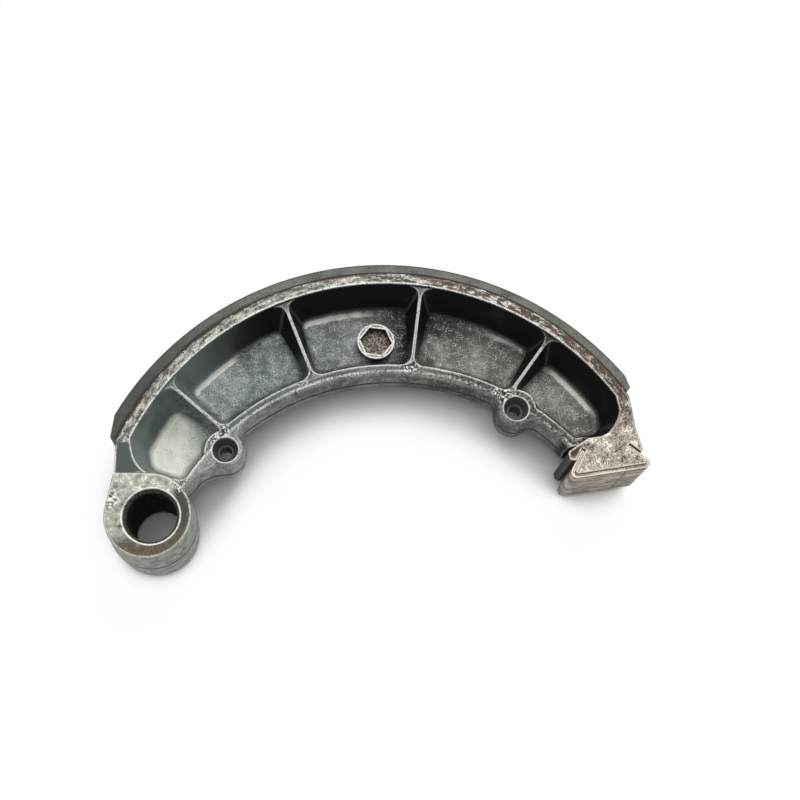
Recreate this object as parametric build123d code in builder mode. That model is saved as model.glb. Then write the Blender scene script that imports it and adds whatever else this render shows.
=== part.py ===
"""Brake shoe: a die-cast shoe with a closed pivot eye, a bonded lining and a folded cam cap.

The shoe lies flat on its side. The origin is on the axis of the pivot bore, half-way across the
shoe's width. Z runs along the bore, X runs along the face that the brake cam pushes on, from the
pivot end to the cam end, and Y points from the cam face out towards the lining.
"""
import os
from math import atan2, cos, degrees, hypot, radians, sin, sqrt, tan

from build123d import *

# ---- driving dimensions, millimetres and degrees ----------------------------------------------

# rim, the wide table that carries the lining
shoe_width = 24.0        # across the drum: rim and lining
rim_radius = 71.5        # seat of the lining
rim_x = 55.6             # centre of the rim, from the pivot axis
rim_y = -16.4
rim_edge = 2.7           # thickness of the rim at its machined edge
rim_left_end = 19.2      # place along Y at which each machined rim face stops
rim_right_end = 9.25

# lining
lining_wall = 3.5        # thickness when new
lining_start = 25.0      # angles of its two ends, about the rim's centre
lining_end = 149.6
wear_x = -0.5            # the worn face is an arc of the drum, this far off the rim's centre
wear_y = -1.0
end_bevel = 5.5          # degrees of arc bevelled off the outer face at each end
end_step = 1.7           # thickness of lining left at the end of the bevel

# web, flange and ribs
web_thickness = 4.0
flange_height = 10.4     # overall, along Z
flange_inset = 12.0      # the flange's inner edge has a smaller radius than the rim, by this much
flange_width = 2.6
flange_drop = 13.2       # the flange's centre lies this far below the rim's
flange_shift = -0.5
flange_draft = 6.0       # of the walls round the arch: flange, spring bosses and bridge
flange_round = 0.8       # along the flange's inner edge
arch_blend = 3.2         # in plan, where the flange meets a boss or bends
rib_count = 4
rib_first = 44.2         # angle of the first rib, about the rim's centre
rib_pitch = 30.0
rib_top = 0.7            # width of a rib along its crest
rib_relief = 0.8         # how far a rib's outer end lies below the machined rim face
pocket_draft = 20.0
pocket_corner = 2.6
pocket_fillet = 2.2

# pivot eye and the neck that joins it to the rim
bore_radius = 6.0
bore_mouth = 0.8         # the mouth is wider than the bore by this much all round
bore_mouth_depth = 1.5
eye_radius = 10.3
eye_width = 22.2
eye_x = -0.8             # the eye's outside is a little off the bore's axis
eye_y = 0.4
eye_draft = 2.8
eye_round = 0.3          # along the edge of each face
eye_side_angle = 162.0   # where the straight side up to the neck leaves the eye
eye_shoulder_angle = 80.0    # where its edge against the neck leaves the eye
neck_side_x = -7.7       # outer end of the edge between eye and neck
neck_side_y = 12.1
neck_step = 0.5          # how far the neck's rough face lies below the eye's face
neck_foot_y = 11.5       # where the slope down from the rim ends
neck_width = 12.0        # of the thick part of the neck, before the pocket is cut
neck_wall = 7.0          # thickness of the neck's wall at its foot, beside the rim
neck_pocket_y = 14.0     # lower end of the foot of that wall
neck_pocket_turn = 27.0  # slope of the first pocket's lower side
neck_corner = 3.7
neck_blend = 3.0         # at the foot of the slope down from the rim

# spring holes, one near each end of the flange
spring_left_angle = 128.6    # about the flange's centre
spring_left_inset = 1.8      # from the flange's inner edge to the hole's axis
spring_right_angle = 49.5
spring_right_inset = 0.3
spring_boss = 4.6        # radius of the boss's top
spring_land = 0.5        # between the boss's top and a pocket beside it
spring_mouth = 3.25      # radius of the mouth
spring_seat = 2.1        # radius at the foot of the mouth
spring_depth = 2.9
spring_hole = 1.5        # radius of the hole through
bridge_x = 9.0           # where the flange's inner edge meets the eye
bridge_y = 7.2
bridge_bend_x = 12.2
bridge_bend_y = 10.0
bridge_level_x = 14.8    # where that edge turns level to meet the boss
bridge_level = 0.1       # how far above the foot of the boss's circle that edge lies
bridge_land = 1.4        # how much further the first pocket reaches towards the flange's edge

# lug at the cam end
lug_height = 19.5        # overall, along Z
lug_trim = 1.3           # cut off the end of the rim, to make the lug's outer side
lug_spread = 1.0         # the side spreads this much towards the lip over the cap's leg
lug_foot_y = -0.7
lug_slope = 4.25         # length of the slope from the rim face down to the lug face
lug_blend = 4.0          # at the foot of that slope
lug_wall = 6.8           # thickness of the lug's outer wall at its foot
lug_pocket_y = 6.4       # foot of the last pocket's lower side
lug_corner = 2.6
lip = 0.5                # thickness of the lip at its edge
nose_x = 103.1           # left end of the nose
nose_rise = 2.4          # length of its end face
nose_top_x = 108.9       # where the nose's upper side levels out
nose_round = 1.0

# cam cap: sheet folded round a dovetail tongue on the lug
cam_face_y = -5.9        # outside of the cap, where the cam pushes
cap_height = 18.0
cap_sheet = 0.9
cap_left = 101.5         # sharp outer corners of the cap's section
cap_right = 125.2
cap_left_lean = 53.0     # slope of each leg from the cam face
cap_right_lean = 47.0
cap_leg = 8.9            # length of each leg from its sharp corner
cap_bend = 1.4           # outer radius of the folds
slot_mouth = 5.5         # from the sharp corner to the mouth of the slot, along the leg
slot_clearance = 0.1     # outside and behind each leg

# core-pin boss with a hexagon socket, on the upper side only
socket_x = 61.0
socket_y = 39.1
socket_boss = 4.85
socket_rise = 2.5        # height of the boss above the web
socket_floor = 0.2       # height of the socket's floor above the web
socket_size = 4.15       # from the socket's centre to its corners
socket_turn = 44.0

# ---- what follows from them --------------------------------------------------------------------

rim_half = shoe_width / 2
web_half = web_thickness / 2
flange_half = flange_height / 2
eye_half = eye_width / 2
lug_half = lug_height / 2
cap_half = cap_height / 2
eye_centre = (eye_x, eye_y)
rim_centre = (rim_x, rim_y)
flange_centre = (rim_x + flange_shift, rim_y - flange_drop)
flange_radius = rim_radius - flange_inset
pocket_lean = tan(radians(pocket_draft))
rim_inner = rim_radius - rim_edge
rim_foot = rim_inner - (rim_half - web_half) * pocket_lean
rib_end = rim_foot + (rim_half - rib_relief - web_half) * pocket_lean
flange_edge = flange_radius + flange_width
flange_foot = flange_edge + (flange_half - web_half) * pocket_lean
rib_angles = [rib_first + rib_pitch * i for i in range(rib_count)]
neck_top_x = rim_x - sqrt(rim_radius**2 - (rim_left_end - rim_y) ** 2)
neck_pocket_x = neck_top_x + neck_wall
neck_face = eye_half - neck_step
lug_side = rim_x + sqrt(rim_radius**2 - (rim_right_end - rim_y) ** 2) - lug_trim
lug_pocket_x = lug_side - lug_wall
nose_top_y = lug_pocket_y - (lug_half - web_half) * pocket_lean
margin = 1.0             # how far a cutter reaches past what it cuts
far = 2 * rim_radius     # clear of the whole shoe


def polar(centre, radius, angle, aside=0.0):
    """Point at a radius and angle about a centre, moved aside at right angles to the radius."""
    a = radians(angle)
    return (
        centre[0] + radius * cos(a) - aside * sin(a),
        centre[1] + radius * sin(a) + aside * cos(a),
    )


def flange_reach(radius, angle):
    """Distance from the rim's centre, at an angle, to a circle about the flange's centre."""
    a = radians(angle)
    along = flange_shift * cos(a) - flange_drop * sin(a)
    return along + sqrt(along**2 - flange_shift**2 - flange_drop**2 + radius**2)


def in_arch(edge):
    """Whether the middle of an edge lies along the arch that the flange makes."""
    middle = edge @ 0.5
    return hypot(middle.X - flange_centre[0], middle.Y - flange_centre[1]) < flange_radius + margin


def rib_crest(radius, angle):
    """Height of a rib's crest: it falls in a straight line from the rim to the flange."""
    inner = flange_reach(flange_edge, angle)
    fall = (rib_end - radius) / (rib_end - inner)
    return rim_half - rib_relief - (rim_half - rib_relief - flange_half) * fall


def rib_foot(radius, angle, side):
    """Point at the foot of a rib's drafted wall, on one side (+1 or -1) of the rib."""
    half = rib_top / 2 + (rib_crest(radius, angle) - web_half) * pocket_lean
    return polar(rim_centre, radius, angle, side * half)


def rib_plane(angle):
    """Upright plane through the rim's axis and a rib: x runs outwards and y is height."""
    a = radians(angle)
    return Plane(origin=(rim_x, rim_y, 0), x_dir=(cos(a), sin(a), 0), z_dir=(sin(a), -cos(a), 0))


def leg_point(side, along, inset):
    """Point on a leg of the cap, the left one for side 1 and the right one for side -1.

    It lies along the leg from the sharp outer corner, and inset from the leg's outside.
    """
    corner, lean = (cap_left, cap_left_lean) if side > 0 else (cap_right, cap_right_lean)
    a = radians(lean)
    return (
        corner + side * (along * cos(a) + inset * sin(a)),
        cam_face_y + along * sin(a) - inset * cos(a),
    )


def tongue_corner(side):
    """Corner of the tongue, where the inside of a leg meets the inside of the cam face."""
    a = radians(cap_left_lean if side > 0 else cap_right_lean)
    return leg_point(side, cap_sheet * (1 + cos(a)) / sin(a), cap_sheet)


def pocket(walls, inner_radius, soft_corner=None, soft_radius=1.0, island=None):
    """Cutter for a pocket between rim and flange, with leaning walls and a filleted floor.

    The foot of each wall is given as a line from one point to another, with the pocket on its
    left. The inner radius is that of the floor's edge along the flange. The pocket leaves an
    island of the flange's height standing about a point.
    """
    with BuildPart() as cutter:
        with BuildSketch(Plane.XY.offset(web_half)) as floor:
            with Locations(rim_centre):
                Circle(rim_foot)
            with Locations(flange_centre):
                Circle(inner_radius, mode=Mode.SUBTRACT)
            for start, end in walls:
                turn = degrees(atan2(end[1] - start[1], end[0] - start[0]))
                with Locations(Location((*start, 0), (0, 0, turn))):
                    Rectangle(
                        4 * far, 2 * far, align=(Align.CENTER, Align.MIN), mode=Mode.INTERSECT
                    )
            if soft_corner:
                at_corner = floor.vertices().sort_by_distance((*soft_corner, web_half))[0]
                fillet(at_corner, soft_radius)
        extrude(amount=rim_half - web_half + margin, taper=-pocket_draft)
        corners = cutter.edges().filter_by_position(Axis.Z, web_half + margin / 2, rim_half)
        if soft_corner:
            corners = corners.sort_by_distance((*soft_corner, rim_half))[2:]
        fillet(corners, pocket_corner)
        fillet(cutter.edges().group_by(Axis.Z)[0], pocket_fillet)
        if island:
            with Locations(Location((*island, web_half))):
                Cone(
                    spring_island,
                    spring_island - (flange_half - web_half) * pocket_lean,
                    flange_half - web_half,
                    align=(Align.CENTER, Align.CENTER, Align.MIN),
                    mode=Mode.SUBTRACT,
                )
    return cutter.part


def rib_wall(angle, side):
    """Foot of one side of a rib, with the pocket beyond it on the left."""
    inner = rib_foot(rim_foot / 2, angle, side)
    outer = rib_foot(rim_radius, angle, side)
    return (inner, outer) if side > 0 else (outer, inner)


bridge_bend = (bridge_bend_x, bridge_bend_y)
bridge_start = (2 * bridge_x - bridge_bend_x, 2 * bridge_y - bridge_bend_y)
spring_left = polar(flange_centre, flange_radius - spring_left_inset, spring_left_angle)
spring_right = polar(flange_centre, flange_radius - spring_right_inset, spring_right_angle)
bridge_turn = (bridge_level_x, spring_left[1] - spring_boss + bridge_level)
spring_island = spring_boss + spring_land + (flange_half - web_half) * pocket_lean
neck_corner_at = (neck_pocket_x, neck_pocket_y)
lug_corner_at = (lug_pocket_x, lug_pocket_y)

pockets = [
    pocket([rib_wall(low, 1), rib_wall(high, -1)], flange_foot)
    for low, high in zip(rib_angles, rib_angles[1:])
]
pockets.append(
    pocket(
        [
            rib_wall(rib_angles[-1], 1),
            ((neck_pocket_x, far), neck_corner_at),
            (neck_corner_at, polar(neck_corner_at, far, -neck_pocket_turn)),
        ],
        flange_foot - bridge_land,
        neck_corner_at,
        neck_corner,
        spring_left,
    )
)
pockets.append(
    pocket(
        [
            rib_wall(rib_angles[0], -1),
            (lug_corner_at, (lug_pocket_x, far)),
            ((rim_x, lug_pocket_y), lug_corner_at),
        ],
        flange_foot,
        lug_corner_at,
        lug_corner,
        spring_right,
    )
)

# ---- shoe casting: rim, web, flange, ribs, eye, spring bosses and lug in one piece --------------

# neck, from the machined rim face down to the rough face beside the eye
with BuildPart() as neck:
    with BuildSketch():
        with BuildLine():
            Polyline(
                eye_centre,
                (neck_side_x, neck_side_y),
                (neck_top_x, rim_left_end),
                (neck_top_x + neck_width, rim_left_end),
                (neck_top_x + neck_width, eye_y),
                close=True,
            )
        make_face()
    extrude(amount=rim_half)
    with BuildSketch(Plane.YZ) as neck_profile:
        with BuildLine():
            Polyline(
                (-far, 0),
                (-far, neck_face),
                (neck_foot_y, neck_face),
                (rim_left_end, rim_half),
                (rim_left_end, 0),
                close=True,
            )
        make_face()
        slope_foot = neck_profile.vertices().sort_by_distance((0, neck_foot_y, neck_face))[0]
        fillet(slope_foot, neck_blend)
    extrude(amount=far, both=True, mode=Mode.INTERSECT)

# eye, with its straight side up to the neck
with BuildPart() as eye:
    with BuildSketch(Plane.XY.offset(eye_half)):
        with Locations(eye_centre):
            Circle(eye_radius)
        with BuildLine():
            Polyline(
                eye_centre,
                polar(eye_centre, eye_radius, eye_side_angle),
                (neck_side_x, neck_side_y),
                polar(eye_centre, eye_radius, eye_shoulder_angle),
                close=True,
            )
        make_face()
    extrude(amount=-eye_half, taper=-eye_draft)
    fillet(eye.edges().group_by(Axis.Z)[-1], eye_round)

# lug, from the machined rim face down to the dovetail tongue, with the nose on its left
with BuildPart() as lug:
    with BuildSketch() as lug_plan:
        with BuildLine():
            Polyline(
                tongue_corner(1),
                tongue_corner(-1),
                leg_point(-1, slot_mouth, cap_sheet),
                leg_point(-1, slot_mouth, -slot_clearance - lip),
                (lug_side + lug_spread, lug_foot_y),
                (lug_side, rim_right_end),
                (nose_top_x, rim_right_end),
                (nose_top_x, nose_top_y),
                (nose_x, leg_point(1, slot_mouth, 0)[1] + nose_rise),
                (nose_x, leg_point(1, slot_mouth, 0)[1]),
                leg_point(1, slot_mouth, 0),
                leg_point(1, slot_mouth, cap_sheet),
                close=True,
            )
        make_face()
        fillet(lug_plan.vertices().group_by(Axis.X)[0], nose_round)
        fillet(lug_plan.vertices().group_by(Axis.Y)[0], cap_bend - cap_sheet + slot_clearance)
        for side in (1, -1):
            with BuildLine():
                Polyline(
                    leg_point(side, 0, -slot_clearance),
                    leg_point(side, cap_leg + slot_clearance, -slot_clearance),
                    leg_point(side, cap_leg + slot_clearance, cap_sheet),
                    leg_point(side, 0, cap_sheet),
                    close=True,
                )
            make_face(mode=Mode.SUBTRACT)
    extrude(amount=rim_half)
    with BuildSketch(Plane.YZ) as lug_profile:
        with BuildLine():
            Polyline(
                (cam_face_y, 0),
                (cam_face_y, lug_half),
                (rim_right_end - lug_slope, lug_half),
                (rim_right_end, rim_half),
                (rim_right_end, 0),
                close=True,
            )
        make_face()
        slope_foot = lug_profile.vertices().sort_by_distance((0, rim_right_end - lug_slope, lug_half))[0]
        fillet(slope_foot, lug_blend)
    extrude(amount=far, mode=Mode.INTERSECT)

with BuildPart() as shoe_casting:
    # web and flange, before the pockets are cut, with bosses for the springs beside the arch
    with BuildSketch():
        with Locations(rim_centre):
            Circle(rim_radius)
        with BuildLine():
            Polyline(
                (neck_side_x, neck_side_y),
                (neck_top_x, rim_left_end),
                (neck_top_x - far, far),
                (lug_side, far),
                (lug_side, nose_top_y),
                (neck_side_x, eye_y),
                close=True,
            )
        make_face(mode=Mode.INTERSECT)
    extrude(amount=flange_half)
    with BuildSketch(Plane.XY.offset(flange_half)) as arch:
        with Locations(flange_centre):
            Circle(flange_radius)
        with BuildLine():
            Polyline(
                bridge_start,
                bridge_bend,
                bridge_turn,
                (spring_left[0], bridge_turn[1]),
                spring_left,
                (eye_x, spring_left[1]),
                close=True,
            )
        make_face(mode=Mode.SUBTRACT)
        with Locations(spring_left, spring_right):
            Circle(spring_boss, mode=Mode.SUBTRACT)
        outside_eye = arch.vertices().filter_by_position(Axis.X, bridge_x + margin, far)
        fillet(outside_eye, arch_blend)
    extrude(amount=-flange_half - margin, taper=flange_draft, mode=Mode.SUBTRACT)
    round_arch = edges().group_by(Axis.Z)[-1].filter_by(in_arch)
    fillet(round_arch, flange_round)

    # rim
    with BuildSketch():
        with Locations(rim_centre):
            Circle(rim_radius)
            Circle(rim_foot - pocket_fillet, mode=Mode.SUBTRACT)
        with BuildLine():
            Polyline(
                (neck_top_x, rim_left_end),
                (rim_x, rim_left_end),
                (rim_x, rim_right_end),
                (lug_side, rim_right_end),
                (lug_side, far),
                (neck_top_x - far, far),
                close=True,
            )
        make_face(mode=Mode.INTERSECT)
    extrude(amount=rim_half)

    # ribs, as wide blocks that the pockets leave thin
    for angle in rib_angles:
        inner = flange_reach(flange_edge, angle)
        with BuildSketch(rib_plane(angle)):
            with BuildLine():
                Polyline(
                    (flange_reach(flange_radius + flange_round + margin, angle), 0),
                    (flange_reach(flange_radius + flange_round + margin, angle), flange_half),
                    (inner, flange_half),
                    (rib_end, rib_crest(rib_end, angle)),
                    (rim_radius - margin, rib_crest(rib_end, angle)),
                    (rim_radius - margin, 0),
                    close=True,
                )
            make_face()
        extrude(amount=rim_half / 2, both=True)

    add(neck.part)
    add(lug.part)
    for cutter in pockets:
        add(cutter, mode=Mode.SUBTRACT)

    # clear what the rounded corners of the pockets leave above each rib's end and each boss
    for angle in rib_angles:
        lowest = rim_foot - pocket_fillet - margin
        top = rim_half + margin
        with BuildSketch(rib_plane(angle)):
            with BuildLine():
                Polyline(
                    (lowest, rib_crest(lowest, angle)),
                    (rib_end, rib_crest(rib_end, angle)),
                    (rib_end + (top - rib_crest(rib_end, angle)) * pocket_lean, top),
                    (lowest, top),
                    close=True,
                )
            make_face()
        extrude(amount=pocket_corner, both=True, mode=Mode.SUBTRACT)
    with Locations(Location((*spring_left, flange_half)), Location((*spring_right, flange_half))):
        Cylinder(
            spring_boss,
            rim_half,
            align=(Align.CENTER, Align.CENTER, Align.MIN),
            mode=Mode.SUBTRACT,
        )

    add(eye.part)

    # the other side of the casting is the same
    mirror(about=Plane.XY)

    # pivot bore and spring holes, with a conical mouth at both ends of each
    Hole(bore_radius)
    with Locations(spring_left, spring_right):
        Hole(spring_hole)
    mouths = [
        ((0, 0), eye_half, bore_radius + bore_mouth, bore_radius, bore_mouth_depth),
        (spring_left, flange_half, spring_mouth, spring_seat, spring_depth),
        (spring_right, flange_half, spring_mouth, spring_seat, spring_depth),
    ]
    for place, height, top_radius, foot_radius, depth in mouths:
        for side in (1, -1):
            with Locations(Location((*place, side * height), (90 - 90 * side, 0, 0))):
                Cone(
                    foot_radius,
                    top_radius,
                    depth,
                    align=(Align.CENTER, Align.CENTER, Align.MAX),
                    mode=Mode.SUBTRACT,
                )

    # core-pin boss with its hexagon socket, on one side only
    with BuildSketch(Plane.XY.offset(web_half)):
        with Locations((socket_x, socket_y)):
            Circle(socket_boss)
    extrude(amount=socket_rise)
    with BuildSketch(Plane.XY.offset(web_half + socket_rise)):
        with Locations((socket_x, socket_y)):
            RegularPolygon(socket_size, 6, rotation=socket_turn)
    extrude(amount=socket_floor - socket_rise, mode=Mode.SUBTRACT)

shoe_casting.part.label = "shoe_casting"

# ---- friction lining: moulded block, bonded to the rim and worn -------------------------------

with BuildPart() as friction_lining:
    with BuildSketch():
        with Locations((rim_x + wear_x, rim_y + wear_y)):
            Circle(rim_radius + lining_wall)
        with Locations(rim_centre):
            Circle(rim_radius, mode=Mode.SUBTRACT)
        with BuildLine():
            Polyline(
                polar(rim_centre, rim_radius / 2, lining_start),
                polar(rim_centre, rim_radius + end_step, lining_start),
                polar(rim_centre, rim_radius + 2 * lining_wall, lining_start + 2 * end_bevel),
                polar(rim_centre, far, (lining_start + lining_end) / 2),
                polar(rim_centre, rim_radius + 2 * lining_wall, lining_end - 2 * end_bevel),
                polar(rim_centre, rim_radius + end_step, lining_end),
                polar(rim_centre, rim_radius / 2, lining_end),
                close=True,
            )
        make_face(mode=Mode.INTERSECT)
    extrude(amount=rim_half, both=True)

friction_lining.part.label = "friction_lining"

# ---- cam end cap: one strip of sheet folded round the tongue, with its legs in the slots --------

with BuildPart() as cam_end_cap:
    with BuildSketch():
        with BuildLine():
            FilletPolyline(
                leg_point(1, cap_leg, 0),
                leg_point(1, 0, 0),
                leg_point(-1, 0, 0),
                leg_point(-1, cap_leg, 0),
                radius=cap_bend,
            )
            offset(amount=cap_sheet, side=Side.LEFT)
        make_face()
    extrude(amount=cap_half, both=True)

cam_end_cap.part.label = "cam_end_cap"

os.makedirs("parts", exist_ok=True)
export_step(shoe_casting.part, "parts/shoe_casting.step")
export_step(friction_lining.part, "parts/friction_lining.step")
export_step(cam_end_cap.part, "parts/cam_end_cap.step")
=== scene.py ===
from math import radians

import bpy
import numpy as np
from mathutils import Matrix, Vector


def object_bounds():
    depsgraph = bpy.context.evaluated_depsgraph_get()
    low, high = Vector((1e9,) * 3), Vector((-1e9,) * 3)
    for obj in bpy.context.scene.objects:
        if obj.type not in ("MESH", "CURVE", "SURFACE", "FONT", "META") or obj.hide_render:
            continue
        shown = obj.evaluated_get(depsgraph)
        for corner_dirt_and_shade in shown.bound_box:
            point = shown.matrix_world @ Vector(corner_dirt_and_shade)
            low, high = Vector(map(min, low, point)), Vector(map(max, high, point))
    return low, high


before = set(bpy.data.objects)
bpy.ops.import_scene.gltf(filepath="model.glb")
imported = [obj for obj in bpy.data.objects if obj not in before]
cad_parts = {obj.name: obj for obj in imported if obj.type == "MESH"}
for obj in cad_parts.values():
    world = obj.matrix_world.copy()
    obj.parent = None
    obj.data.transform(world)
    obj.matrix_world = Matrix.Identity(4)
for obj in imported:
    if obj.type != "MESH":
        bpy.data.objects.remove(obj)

cad_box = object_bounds()

# ---- Table top and camera ------------------------------------------------------------------------
# A sheet of white card on a table, larger than the picture. The shoe lies on its side, on the
# machined rim of its far side. The camera looks down on it from the pivot side of the arch.


def linear(hex_colour):
    """sRGB hex to linear light: v/12.92 below 0.04045, else ((v+0.055)/1.055) to the power 2.4."""
    v = np.array([int(hex_colour[i:i + 2], 16) for i in (1, 3, 5)]) / 255
    v = np.where(v <= 0.04045, v / 12.92, ((v + 0.055) / 1.055) ** 2.4)
    return (*v.tolist(), 1.0)


def add(tree, kind, inputs=None, **settings):
    """Add a shader node, set its properties, and give each input a value or link it to a socket."""
    node = tree.nodes.new("ShaderNode" + kind)
    for name, value in settings.items():
        setattr(node, name, value)
    for name, value in (inputs or {}).items():
        if isinstance(value, bpy.types.NodeSocket):
            tree.links.new(value, node.inputs[name])
        else:
            node.inputs[name].default_value = value
    return node


def start_material(name):
    """A new node material with nothing in it but its output."""
    material = bpy.data.materials.new(name)
    material.use_nodes = True
    material.node_tree.nodes.clear()
    return material, material.node_tree


def surface_mesh(name, points, faces):
    """A mesh object at the origin from an array of points in metres and an array of faces."""
    mesh = bpy.data.meshes.new(name)
    mesh.from_pydata(points.tolist(), [], faces.tolist())
    mesh.update()
    piece = bpy.data.objects.new(name, mesh)
    bpy.context.scene.collection.objects.link(piece)
    return piece


def seen_directly(tree):
    """1 for rays from the camera, from a reflection or through glass, and 0 for rays of light."""
    path = add(tree, "LightPath").outputs
    seen = add(tree, "Math", {0: path["Is Camera Ray"], 1: path["Is Glossy Ray"]},
               operation="MAXIMUM").outputs[0]
    return add(tree, "Math", {0: seen, 1: path["Is Transmission Ray"]},
               operation="MAXIMUM").outputs[0]


floor_z = cad_box[0][2]
card_half = 1.6      # metres
shade_reach = 0.045  # metres, the reach of the shoe's soft shadow on the card
corners = np.array([[-1, -1], [1, -1], [1, 1], [-1, 1]]) * card_half
card_points = np.column_stack([corners, np.full(4, floor_z)])
card = surface_mesh("card", card_points, np.array([[0, 1, 2, 3]]))
white_card, tree = start_material("white card")
card_shader = add(tree, "BsdfPrincipled", {"Base Color": linear("#F7F7F6"), "Roughness": 0.9})
# the card is white where it lies open and takes the shadow where the shoe stands close over it
open_sky = add(tree, "AmbientOcclusion", {"Distance": shade_reach}, samples=16).outputs["AO"]
whiteness = add(tree, "MapRange",
                {"Value": open_sky, "From Min": 0.47, "From Max": 0.73, "To Max": 0.97},
                interpolation_type="SMOOTHSTEP").outputs[0]
looked_at = seen_directly(tree)
whiteness = add(tree, "Math", {0: whiteness, 1: looked_at}, operation="MULTIPLY").outputs[0]
lit_white = add(tree, "Emission", {"Color": linear("#FFFFFF"), "Strength": 1.0})
card_surface = add(tree, "MixShader", {0: whiteness, 1: card_shader.outputs["BSDF"],
                                       2: lit_white.outputs["Emission"]})
add(tree, "OutputMaterial", {"Surface": card_surface.outputs[0]})
card.data.materials.append(white_card)

world = bpy.data.worlds.new("soft room")
bpy.context.scene.world = world
world.use_nodes = True
tree = world.node_tree
tree.nodes.clear()
room = add(tree, "Background", {"Color": linear("#F6F8F8"), "Strength": 0.42})
backdrop = add(tree, "Background", {"Color": linear("#FFFFFF"), "Strength": 1.0})
shown = add(tree, "MixShader",
            {0: seen_directly(tree), 1: room.outputs[0], 2: backdrop.outputs[0]})
add(tree, "OutputWorld", {"Surface": shown.outputs[0]})


def soft_box(name, place, aim, size, watts):
    """A square lamp at a place, turned to face the point that it aims at."""
    lamp = bpy.data.lights.new(name, "AREA")
    lamp.shape = "SQUARE"
    lamp.size = size
    lamp.energy = watts
    holder = bpy.data.objects.new(name, lamp)
    holder.location = place
    holder.rotation_euler = (Vector(aim) - Vector(place)).to_track_quat("-Z", "Y").to_euler()
    bpy.context.scene.collection.objects.link(holder)


middle = (0.055, 0.02, 0.0)
soft_box("window light", (0.30, 0.55, 0.75), middle, size=0.50, watts=4.6)
soft_box("overhead light", (-0.05, 0.10, 0.95), middle, size=0.70, watts=2.4)

camera = bpy.data.objects.new("camera", bpy.data.cameras.new("camera"))
sensor_width = 36.0      # millimetres
lens_to_frame = 1.4373   # focal length as a share of the frame's width
camera.data.sensor_width = sensor_width
camera.data.lens = sensor_width * lens_to_frame
camera.data.clip_start = 0.01
camera.matrix_world = (
    Matrix.Translation((0.02887, -0.06978, 0.28116))
    @ Matrix.Rotation(radians(-8.396), 4, "Z")
    @ Matrix.Rotation(radians(19.180), 4, "X")
    @ Matrix.Rotation(radians(-4.250), 4, "Y")
)
bpy.context.scene.collection.objects.link(camera)
bpy.context.scene.camera = camera
bpy.context.scene.view_settings.view_transform = "Standard"

# ---- Shoe casting --------------------------------------------------------------------------------
# Pressure die-cast aluminium, in one piece. The skin is as it left the die, dull and mottled, with
# brake dust and painted shade on the pocket walls and painted light on the outside walls. The rim,
# the eye's faces and the lug are machined or rubbed bright, every edge is polished by handling and
# carries a painted highlight, and the bore holds old grease under painted shade.

# places in millimetres, on the pivot's axis, seen from above
rim_axis = (55.6, -16.4, 0.0)
flange_axis = (55.1, -29.6, 0.0)
spring_holes = ((19.10, 15.49, 0.0), (93.55, 15.42, 0.0))
socket_axis = (61.0, 39.1, 0.0)
dents = (((-9.6, 5.6, 0.0), 3.4), ((8.4, 6.6, 0.0), 2.6))    # with the reach of each
rough_spots = (((17.0, 20.5, 0.0), 5.5), ((40.5, 32.6, 0.0), 4.0),
               ((91.5, 20.5, 0.0), 4.5), ((68.5, 31.5, 0.0), 3.5))


def millimetres(tree):
    """A point of the piece in mm: the vector, its three parts, |z|, and the vector with z = 0."""
    place = add(tree, "TexCoord").outputs["Object"]
    mm = add(tree, "VectorMath", {0: place, "Scale": 1000.0}, operation="SCALE").outputs[0]
    across, along, up = add(tree, "SeparateXYZ", {0: mm}).outputs
    height = add(tree, "Math", {0: up}, operation="ABSOLUTE").outputs[0]
    plan = add(tree, "VectorMath", {0: mm, 1: (1.0, 1.0, 0.0)}, operation="MULTIPLY").outputs[0]
    return mm, across, along, up, height, plan


def distance(tree, plan, axis):
    """Distance in plan from an upright axis: sqrt((x - a)**2 + (y - b)**2)."""
    return add(tree, "VectorMath", {0: plan, 1: axis}, operation="DISTANCE").outputs["Value"]


def between(tree, value, low, high):
    """Mask t*t*(3 - 2*t) with t from 0 at low to 1 at high, where high may be the lesser."""
    return add(tree, "MapRange", {"Value": value, "From Min": low, "From Max": high},
               interpolation_type="SMOOTHSTEP").outputs[0]


def both(tree, *masks):
    """Product of several masks."""
    result = masks[0]
    for mask in masks[1:]:
        result = add(tree, "Math", {0: result, 1: mask}, operation="MULTIPLY").outputs[0]
    return result


def cover(tree, colour, mask, paint):
    """The colour below, covered with a paint where the mask is 1."""
    return add(tree, "Mix", {0: mask, 6: colour, 7: paint}, data_type="RGBA").outputs[2]


def mottling(tree, place, size, detail=3.0, roughness=0.6):
    """Noise whose patches are about so many millimetres across, on a place in millimetres."""
    return add(tree, "TexNoise", {"Vector": place, "Scale": 1.0 / size, "Detail": detail,
                                  "Roughness": roughness}).outputs[0]


# Dull metal that took its skin from the die, so the eye sees a fine broken grain over soft clouds.
cast_aluminium, tree = start_material("die-cast aluminium, stained with brake dust")
normal = add(tree, "NewGeometry").outputs["Normal"]
upright = add(tree, "SeparateXYZ", {0: normal}).outputs[2]
flatness = add(tree, "Math", {0: upright}, operation="ABSOLUTE").outputs[0]
mm, across, along, up, height, plan = millimetres(tree)
bore_distance = add(tree, "VectorMath", {0: plan}, operation="LENGTH").outputs["Value"]
from_rim_axis = add(tree, "VectorMath", {0: plan, 1: rim_axis}, operation="SUBTRACT").outputs[0]
rim_distance = add(tree, "VectorMath", {0: from_rim_axis}, operation="LENGTH").outputs["Value"]
outward = add(tree, "VectorMath", {0: from_rim_axis}, operation="NORMALIZE").outputs[0]
turned_out = add(tree, "VectorMath", {0: outward, 1: normal},
                 operation="DOT_PRODUCT").outputs["Value"]
aside, ahead, _ = add(tree, "SeparateXYZ", {0: from_rim_axis}).outputs
rim_angle = add(tree, "Math", {0: ahead, 1: aside}, operation="ARCTAN2").outputs[0]
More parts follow.
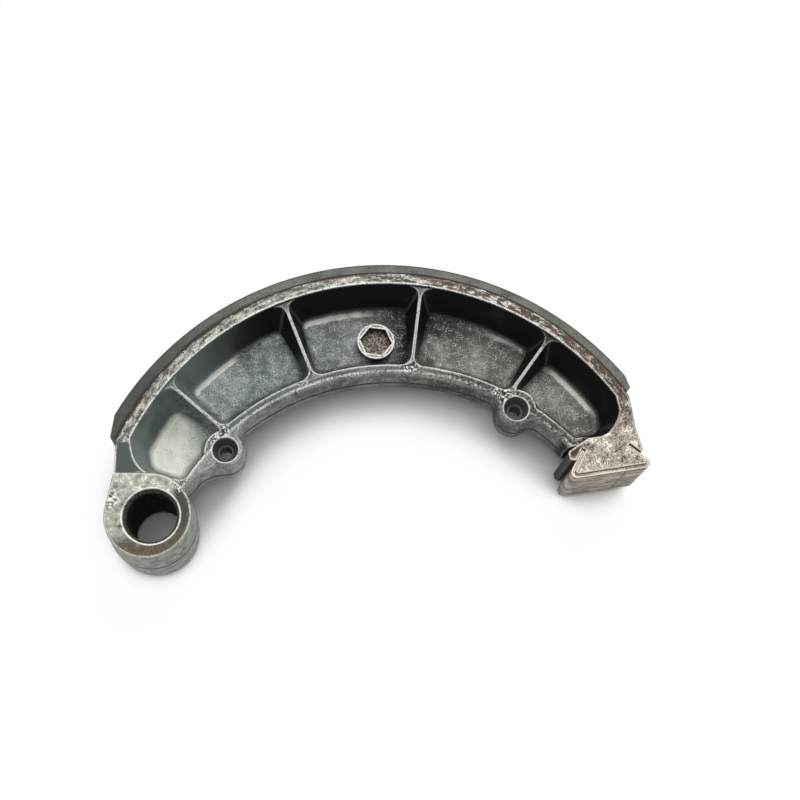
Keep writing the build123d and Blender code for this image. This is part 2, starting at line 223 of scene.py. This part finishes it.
# a turn of one radian is 71.5 mm of rim and 30 mm of pattern: streaks run 2.4 times their width
along_rim = add(tree, "Math", {0: rim_angle, 1: 30.0}, operation="MULTIPLY").outputs[0]
streak_place = add(tree, "CombineXYZ", {0: along_rim, 1: rim_distance, 2: up}).outputs[0]

# The die's grain is about 0.1 mm and grinding marks are finer, both drawn coarser so as to show.
grain = mottling(tree, mm, 0.40, 3.0, 0.65)
speckle = mottling(tree, mm, 0.75, 2.0, 0.7)
mottle = mottling(tree, mm, 2.2, 4.0, 0.65)
clouds = mottling(tree, mm, 12.0, 3.0, 0.55)
streaks = mottling(tree, streak_place, 0.9, 4.0, 0.65)

# skin of the casting: cool grey towards the pivot and warmer towards the cam
cool = cover(tree, linear("#545C59"), between(tree, clouds, 0.34, 0.66), linear("#7F8682"))
warm = cover(tree, linear("#504F4C"), between(tree, clouds, 0.36, 0.70), linear("#7C7A74"))
colour = cover(tree, cool, between(tree, across, 35.0, 80.0), warm)
# the first pocket's floor painted paler: a painted reflection of the lamp
first_floor = both(tree, between(tree, across, 17.0, 8.0), between(tree, height, 3.6, 2.4),
                   between(tree, bore_distance, 11.0, 13.0))
pale_skin_painted_reflection = cover(tree, linear("#A3A89F"), between(tree, clouds, 0.40, 0.58), linear("#BCC0B8"))
colour = cover(tree, colour, first_floor, pale_skin_painted_reflection)
# darker cloudy patches on the fourth pocket's floor, between 62 and 92 mm across
darker_floor_patch = both(tree, between(tree, across, 62.0, 68.0), between(tree, across, 92.0, 76.0),
                     between(tree, height, 4.4, 3.4))
colour = cover(tree, colour, both(tree, darker_floor_patch, between(tree, clouds, 0.72, 0.44)),
               linear("#262523"))
light_flecks = both(tree, between(tree, mottle, 0.40, 0.70), between(tree, grain, 0.49, 0.60))
fewer = add(tree, "MapRange", {"Value": first_floor, "To Min": 1.0, "To Max": 0.35}).outputs[0]
dark_flecks = both(tree, fewer, between(tree, mottle, 0.62, 0.34),
                   between(tree, grain, 0.49, 0.40))
colour = cover(tree, colour, light_flecks, linear("#A9AAA3"))
colour = cover(tree, colour, dark_flecks, linear("#2B3031"))

# a painted reflection along the fillet between a pocket's floor and the rim, a painted highlight
# along a ridge on the flange with a line of painted shade beside it, and dust on the flange towards
# the cam
fillet_reflection = both(tree, between(tree, flatness, 0.66, 0.84), between(tree, flatness, 0.997, 0.975),
                   between(tree, turned_out, -0.05, -0.25), between(tree, height, 3.9, 3.4),
                   between(tree, clouds, 0.36, 0.56))
colour = cover(tree, colour, fillet_reflection, linear("#B9BAB2"))
flange_distance = distance(tree, plan, flange_axis)
on_flange = both(tree, between(tree, height, 4.7, 5.0), between(tree, height, 5.5, 5.3),
                 between(tree, mottle, 0.36, 0.52))
# a painted highlight along a ridge on the flange, and a line of painted shade beside it
ridge_highlight = both(tree, between(tree, flange_distance, 59.9, 60.2),
            between(tree, flange_distance, 60.75, 60.5))
ridge_shade_line = both(tree, between(tree, flange_distance, 60.8, 61.05),
              between(tree, flange_distance, 61.5, 61.3))
colour = cover(tree, colour, both(tree, on_flange, ridge_shade_line), linear("#4A4C49"))
colour = cover(tree, colour, both(tree, on_flange, ridge_highlight, between(tree, grain, 0.40, 0.54)),
               linear("#B4B4AC"))
flange_dust = both(tree, between(tree, height, 4.7, 5.0), between(tree, height, 5.5, 5.3),
                   between(tree, across, 66.0, 84.0), between(tree, speckle, 0.56, 0.44))
colour = cover(tree, colour, flange_dust, linear("#383733"))

# walls of the eye and of the arch beside it, painted lighter as painted light, for the light that
# the card and the room throw on them
eye_wall = between(tree, bore_distance, 12.6, 11.8)
arch_wall = both(tree, between(tree, across, 40.0, 22.0), between(tree, rim_distance, 58.0, 56.5))
lit_outer_wall = both(tree, between(tree, flatness, 0.60, 0.30),
                  add(tree, "Math", {0: eye_wall, 1: arch_wall}, operation="MAXIMUM").outputs[0])
painted_lit_skin = cover(tree, linear("#6A6E67"), between(tree, mottle, 0.35, 0.6), linear("#989A92"))
colour = cover(tree, colour, lit_outer_wall, painted_lit_skin)

# brake dust with painted shade, near black, under the rim and on the upper ends of the ribs, where
# the walls face away from the light; less near the pivot, where it is painted lighter as painted
# light
dust_and_shade_end = between(tree, rim_angle, 2.36, 1.90)
in_pocket = both(tree, between(tree, height, 2.3, 4.0), between(tree, rim_distance, 57.5, 61.5),
                 between(tree, bore_distance, 12.0, 13.0))
under_rim_dust_and_shade = both(tree, between(tree, turned_out, -0.30, -0.72), in_pocket)
rib_side_dust_and_shade = both(tree, between(tree, flatness, 0.70, 0.40), between(tree, rim_distance, 50.0, 58.0),
                between(tree, height, 2.2, 3.4), between(tree, bore_distance, 12.0, 13.0),
                between(tree, rim_distance, 71.3, 70.9))
colour = cover(tree, colour, both(tree, rib_side_dust_and_shade, dust_and_shade_end), linear("#14191B"))
thin_dust_and_shade = cover(tree, linear("#5C6562"), between(tree, clouds, 0.36, 0.62), linear("#7A8480"))
colour = cover(tree, colour, under_rim_dust_and_shade, thin_dust_and_shade)
thick_dust_and_shade = cover(tree, linear("#06090A"), between(tree, clouds, 0.50, 0.66), linear("#1B2022"))
colour = cover(tree, colour, both(tree, under_rim_dust_and_shade, dust_and_shade_end), thick_dust_and_shade)

# faces that are machined or rubbed bright, told apart by their height: rim, eye, lug and neck
rim_face = between(tree, height, 11.93, 11.97)
level = between(tree, flatness, 0.990, 0.997)
eye_face = both(tree, between(tree, height, 11.00, 11.06), between(tree, height, 11.20, 11.14),
                level)
lug_face = both(tree, between(tree, height, 9.55, 9.65), between(tree, height, 11.97, 11.93),
                between(tree, across, 102.4, 102.6), between(tree, flatness, 0.70, 0.80))
neck_face = both(tree, between(tree, height, 10.40, 10.50), between(tree, across, 6.0, 4.0),
                 between(tree, height, 11.97, 11.93), between(tree, flatness, 0.80, 0.90),
                 between(tree, bore_distance, 11.5, 12.0))
colour = cover(tree, colour, neck_face, linear("#4B5453"))

rim_paint = cover(tree, linear("#494B47"), between(tree, streaks, 0.36, 0.60), linear("#93938B"))
bright_streak = both(tree, between(tree, streaks, 0.52, 0.66), between(tree, grain, 0.46, 0.60))
rim_paint = cover(tree, rim_paint, bright_streak, linear("#C6C6BE"))
rim_paint = cover(tree, rim_paint, between(tree, speckle, 0.44, 0.34), linear("#2A2A27"))
dark_streak = both(tree, between(tree, across, 48.0, 74.0), between(tree, streaks, 0.60, 0.42))
rim_paint = cover(tree, rim_paint, dark_streak, linear("#37332D"))
rust_run = mottling(tree, streak_place, 1.6, 5.0, 0.6)
rust_end = both(tree, between(tree, across, 58.0, 84.0), between(tree, rust_run, 0.47, 0.57),
                between(tree, speckle, 0.40, 0.52))
rim_paint = cover(tree, rim_paint, rust_end, linear("#4B3527"))
joint_stain = both(tree, between(tree, rim_distance, 70.6, 71.3),
                   between(tree, rust_run, 0.44, 0.56))
rim_paint = cover(tree, rim_paint, joint_stain, linear("#473829"))
colour = cover(tree, colour, rim_face, rim_paint)

eye_paint = cover(tree, linear("#6C6C64"), between(tree, mottle, 0.32, 0.56), linear("#97968D"))
bright_spots = both(tree, between(tree, mottle, 0.52, 0.62), between(tree, grain, 0.44, 0.56))
eye_paint = cover(tree, eye_paint, bright_spots, linear("#C9C8C0"))
towards_arch = add(tree, "VectorMath", {0: plan, 1: (0.95, -0.25, 0.0)},
                   operation="DOT_PRODUCT").outputs["Value"]
dull_side = both(tree, between(tree, towards_arch, 3.2, 5.4), between(tree, mottle, 0.30, 0.40))
eye_paint = cover(tree, eye_paint, dull_side, linear("#3A3D38"))
foot_side = both(tree, between(tree, along, -2.5, -6.0), between(tree, mottle, 0.32, 0.50))
eye_paint = cover(tree, eye_paint, foot_side, linear("#504C40"))
eye_paint = cover(tree, eye_paint, both(tree, foot_side, between(tree, speckle, 0.54, 0.62)),
                  linear("#4E382B"))
eye_paint = cover(tree, eye_paint, between(tree, mottle, 0.36, 0.30), linear("#3C3B36"))
# dents in the eye's face drawn as painted glints and painted shade in their pits, in place of
# relief
for dent, reach in dents:
    dent_glint_and_shade = between(tree, distance(tree, plan, dent), reach, 0.5 * reach)
    eye_paint = cover(tree, eye_paint, both(tree, dent_glint_and_shade, between(tree, speckle, 0.54, 0.60)),
                      linear("#E4E4DE"))
    eye_paint = cover(tree, eye_paint, both(tree, dent_glint_and_shade, between(tree, speckle, 0.47, 0.42)),
                      linear("#232420"))
colour = cover(tree, colour, eye_face, eye_paint)

lug_paint = cover(tree, linear("#6E6962"), between(tree, grain, 0.38, 0.60), linear("#A0988D"))
lug_bright = both(tree, between(tree, mottle, 0.51, 0.61), between(tree, grain, 0.42, 0.56))
lug_paint = cover(tree, lug_paint, lug_bright, linear("#CFC8BC"))
lug_dark = both(tree, between(tree, mottle, 0.49, 0.39), between(tree, grain, 0.60, 0.48))
lug_paint = cover(tree, lug_paint, lug_dark, linear("#453F38"))
nose_top = both(tree, between(tree, across, 107.6, 106.6), between(tree, along, -1.4, 0.2))
lug_paint = cover(tree, lug_paint, nose_top, linear("#34302B"))
colour = cover(tree, colour, lug_face, lug_paint)
nose_end = both(tree, between(tree, across, 98.0, 100.0), between(tree, across, 105.0, 104.4),
                between(tree, flatness, 0.5, 0.3), between(tree, along, 6.0, 4.0))
colour = cover(tree, colour, nose_end, linear("#151413"))

# rough spots left by the die round the spring bosses and where the ribs run into the flange
for spot, reach in rough_spots:
    away = distance(tree, plan, spot)
    rough_spot = both(tree, between(tree, away, reach, 0.4 * reach),
                      between(tree, height, 4.2, 4.8), between(tree, flatness, 0.55, 0.75))
    colour = cover(tree, colour, both(tree, rough_spot, between(tree, speckle, 0.53, 0.60)),
                   linear("#C9CBC4"))
    colour = cover(tree, colour, both(tree, rough_spot, between(tree, speckle, 0.48, 0.42)),
                   linear("#262827"))

# bore with old brown grease and painted shade deep in it, its mouths rubbed bright with a painted
# highlight round the outer edge, a flat darker grey in the spring holes, and dirt in the socket
in_bore = between(tree, bore_distance, 6.20, 6.08)
in_mouth = both(tree, between(tree, bore_distance, 6.04, 6.12),
                between(tree, bore_distance, 6.86, 6.78))
mouth_skin = cover(tree, linear("#3B3731"), between(tree, grain, 0.42, 0.58), linear("#77716A"))
colour = cover(tree, colour, in_mouth, mouth_skin)
# a painted highlight with bare metal round the outer edge of each mouth
mouth_edge_wear_and_highlight = both(tree, between(tree, bore_distance, 6.58, 6.70),
                  between(tree, bore_distance, 7.14, 6.98), between(tree, height, 10.6, 10.8),
                  between(tree, mottle, 0.36, 0.52))
colour = cover(tree, colour, mouth_edge_wear_and_highlight, linear("#CFCFC8"))
# painted shade deep in the bore, over brown grease
grease_and_bore_shade = cover(tree, linear("#0C0B0A"), between(tree, mottle, 0.45, 0.58), linear("#3C2A1F"))
ring_mark = both(tree, between(tree, height, 2.0, 1.2), between(tree, grain, 0.3, 0.6))
grease_and_bore_shade = cover(tree, grease_and_bore_shade, ring_mark, linear("#2C2A27"))
colour = cover(tree, colour, in_bore, grease_and_bore_shade)
# the spring holes' funnels and seats in a flat darker grey
for hole in spring_holes:
    away = distance(tree, plan, hole)
    funnel = both(tree, between(tree, away, 3.15, 2.95), between(tree, flatness, 0.95, 0.80))
    colour = cover(tree, colour, funnel, linear("#595D5A"))
    colour = cover(tree, colour, between(tree, away, 2.20, 2.08), linear("#4A4B48"))
from_socket = distance(tree, plan, socket_axis)
socket_floor = both(tree, between(tree, from_socket, 4.25, 4.10), between(tree, up, 2.10, 2.16),
                    between(tree, up, 2.8, 2.4))
packed_dirt = cover(tree, linear("#2F2A26"), between(tree, grain, 0.42, 0.62), linear("#8E8579"))
colour = cover(tree, colour, socket_floor, packed_dirt)

# the die's parting line half-way up every outside wall, drawn wider than it is so as to show, near
# black with painted shade where the lower half steps back
parting_line_and_shade = both(tree, between(tree, height, 0.60, 0.36), between(tree, flatness, 0.5, 0.3))
colour = cover(tree, colour, parting_line_and_shade, linear("#121413"))

# painted shade with dirt in the inner corners, and bare bright metal with a painted highlight along
# the outer edges, browner on the lug
corner_occlusion = add(tree, "AmbientOcclusion", {"Distance": 0.0022}, samples=8).outputs["AO"]
corner_dirt_and_shade = both(tree, between(tree, corner_occlusion, 0.62, 0.25), between(tree, bore_distance, 6.0, 7.0))
colour = cover(tree, colour, corner_dirt_and_shade, linear("#202322"))
# bright outer edges: bare metal rubbed by handling, with a painted highlight
convex_edge_ao = add(tree, "AmbientOcclusion", {"Distance": 0.0006}, samples=8,
                inside=True).outputs["AO"]
clear_of_holes = [between(tree, distance(tree, plan, hole), 2.5, 2.9) for hole in spring_holes]
edge_wear_and_highlight = both(tree, between(tree, convex_edge_ao, 0.95, 0.76), between(tree, speckle, 0.26, 0.50),
            *clear_of_holes, between(tree, rim_distance, 71.2, 70.7))
edge_metal_and_highlight = cover(tree, linear("#D2D3CD"), between(tree, across, 101.5, 103.5), linear("#B7B0A5"))
colour = cover(tree, colour, edge_wear_and_highlight, edge_metal_and_highlight)

soft_normal = add(tree, "Bevel", {"Radius": 0.00035}, samples=6).outputs[0]
rim_or_eye = add(tree, "Math", {0: rim_face, 1: eye_face}, operation="ADD").outputs[0]
bright = add(tree, "Math", {0: rim_or_eye, 1: lug_face}, operation="ADD",
             use_clamp=True).outputs[0]
dirty = add(tree, "Math", {0: under_rim_dust_and_shade, 1: in_bore}, operation="MAXIMUM").outputs[0]
roughness = add(tree, "MapRange", {"Value": bright, "To Min": 0.52, "To Max": 0.40}).outputs[0]
roughness = add(tree, "Mix", {0: dirty, 2: roughness, 3: 0.75}).outputs[0]
metal = add(tree, "MapRange", {"Value": dirty, "To Min": 0.55, "To Max": 0.05}).outputs[0]
relief = add(tree, "Math", {0: grain, 1: mottle}, operation="ADD").outputs[0]
bump = add(tree, "Bump", {"Height": relief, "Strength": 0.5, "Distance": 0.0002,
                          "Normal": soft_normal})
shader = add(tree, "BsdfPrincipled",
             {"Base Color": colour, "Roughness": roughness, "Metallic": metal,
              "Specular IOR Level": 0.15, "Normal": bump.outputs[0]})
add(tree, "OutputMaterial", {"Surface": shader.outputs["BSDF"]})
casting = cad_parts["shoe_casting"]
casting.data.materials.clear()
casting.data.materials.append(cast_aluminium)

# ---- Friction lining -----------------------------------------------------------------------------
# Moulded friction composite of fibre, resin and metal powder, ground to width and bonded to the
# rim. Its sides are smooth and even, and its outer face is polished and scored by the drum.

drum_axis = (55.1, -17.4, 0.0)    # millimetres

# Grey and matt, since resin binds the fibres, with pale and dark fibre ends scattered all over.
friction_composite, tree = start_material("friction composite, moulded and worn")
mm, across, along, up, height, plan = millimetres(tree)
rim_distance = distance(tree, plan, rim_axis)
drum_distance = distance(tree, plan, drum_axis)
# fibre ends are 0.1 to 0.2 mm and the drum's scores about as wide, both drawn coarser to show
fibres = mottling(tree, mm, 0.55, 4.0, 0.7)
patches = mottling(tree, mm, 7.0, 3.0, 0.55)
colour = cover(tree, linear("#50534E"), between(tree, patches, 0.34, 0.66), linear("#6F726B"))
colour = cover(tree, colour, between(tree, fibres, 0.55, 0.68), linear("#82847C"))
colour = cover(tree, colour, between(tree, fibres, 0.44, 0.32), linear("#343633"))
worn_face = between(tree, drum_distance, 74.90, 74.97)
score = add(tree, "CombineXYZ", {2: up})
scores = mottling(tree, score.outputs[0], 0.9, 4.0, 0.6)
scored = cover(tree, linear("#3C3B38"), between(tree, scores, 0.40, 0.60), linear("#5F5D58"))
colour = cover(tree, colour, worn_face, scored)
on_side = between(tree, height, 11.6, 11.9)
burnt_edge = both(tree, between(tree, drum_distance, 74.55, 74.85), on_side,
                  between(tree, fibres, 0.36, 0.50))
colour = cover(tree, colour, burnt_edge, linear("#3B342C"))
pivot_end = both(tree, between(tree, across, 34.0, 2.0), between(tree, patches, 0.20, 0.50))
colour = cover(tree, colour, pivot_end, linear("#40433E"))
# the bond line against the rim, and glue that has run out of it towards the pivot
dark_glue = both(tree, between(tree, rim_distance, 72.55, 72.0), on_side,
                 between(tree, across, 44.0, 14.0), between(tree, patches, 0.36, 0.50))
colour = cover(tree, colour, dark_glue, linear("#2A2119"))
joint = both(tree, between(tree, rim_distance, 71.98, 71.70), on_side)
colour = cover(tree, colour, joint, linear("#17130F"))
bump = add(tree, "Bump", {"Height": fibres, "Strength": 0.35, "Distance": 0.0002})
shader = add(tree, "BsdfPrincipled",
             {"Base Color": colour, "Roughness": 0.66, "Specular IOR Level": 0.35,
              "Normal": bump.outputs[0]})
add(tree, "OutputMaterial", {"Surface": shader.outputs["BSDF"]})
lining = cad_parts["friction_lining"]
lining.data.materials.clear()
lining.data.materials.append(friction_composite)

# ---- Cam end cap ---------------------------------------------------------------------------------
# One strip of cold-rolled steel, 0.9 mm thick, folded round the lug. It has a thin brown film of
# rust and long rubbed marks from the cam, with bare metal along its sheared edges.

# Bare rolled steel under a thin rust film, so the eye sees brown streaks with a dull metal sheen.
rusty_steel, tree = start_material("cold-rolled steel, filmed with rust")
mm, across, along, up, height, plan = millimetres(tree)
# rolling marks are under 0.1 mm wide, drawn 0.8 mm wide and ten times as long, so as to show
rolled = add(tree, "VectorMath", {0: mm, 1: (0.12, 0.12, 1.3)}, operation="MULTIPLY").outputs[0]
rolling = mottling(tree, rolled, 1.0, 5.0, 0.65)
film = mottling(tree, mm, 3.2, 5.0, 0.65)
grit = mottling(tree, mm, 0.6, 3.0, 0.65)
colour = cover(tree, linear("#4C423A"), between(tree, rolling, 0.40, 0.60), linear("#B0A191"))
rusty = both(tree, between(tree, film, 0.50, 0.60), between(tree, grit, 0.40, 0.54))
colour = cover(tree, colour, rusty, linear("#54402F"))
rubbed = both(tree, between(tree, film, 0.44, 0.34), between(tree, grit, 0.44, 0.56))
colour = cover(tree, colour, rubbed, linear("#C4B9AC"))
# painted shadow below the burr on the sheared edge, painted shade in the crease down the cam face,
# and wear along the sheared edges
burr_shadow = both(tree, between(tree, height, 8.65, 8.45), between(tree, height, 7.7, 8.0),
                  between(tree, film, 0.38, 0.48))
colour = cover(tree, colour, burr_shadow, linear("#3A2F27"))
# painted shade in the crease down the cam face
crease_shade = both(tree, between(tree, across, 116.5, 116.8), between(tree, across, 117.5, 117.1),
              between(tree, film, 0.36, 0.46))
colour = cover(tree, colour, crease_shade, linear("#33281F"))
convex_edge_ao = add(tree, "AmbientOcclusion", {"Distance": 0.0006}, samples=8,
                inside=True).outputs["AO"]
sheared_edge = both(tree, between(tree, convex_edge_ao, 0.90, 0.62), between(tree, height, 8.6, 8.9))
colour = cover(tree, colour, sheared_edge, linear("#CFC7BB"))
soft_normal = add(tree, "Bevel", {"Radius": 0.0003}, samples=6).outputs[0]
relief = add(tree, "Math", {0: rolling, 1: grit}, operation="ADD").outputs[0]
bump = add(tree, "Bump", {"Height": relief, "Strength": 0.35, "Distance": 0.00015,
                          "Normal": soft_normal})
shader = add(tree, "BsdfPrincipled", {"Base Color": colour, "Roughness": 0.42, "Metallic": 0.75,
                                      "Normal": bump.outputs[0]})
add(tree, "OutputMaterial", {"Surface": shader.outputs["BSDF"]})
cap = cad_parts["cam_end_cap"]
cap.data.materials.clear()
cap.data.materials.append(rusty_steel)
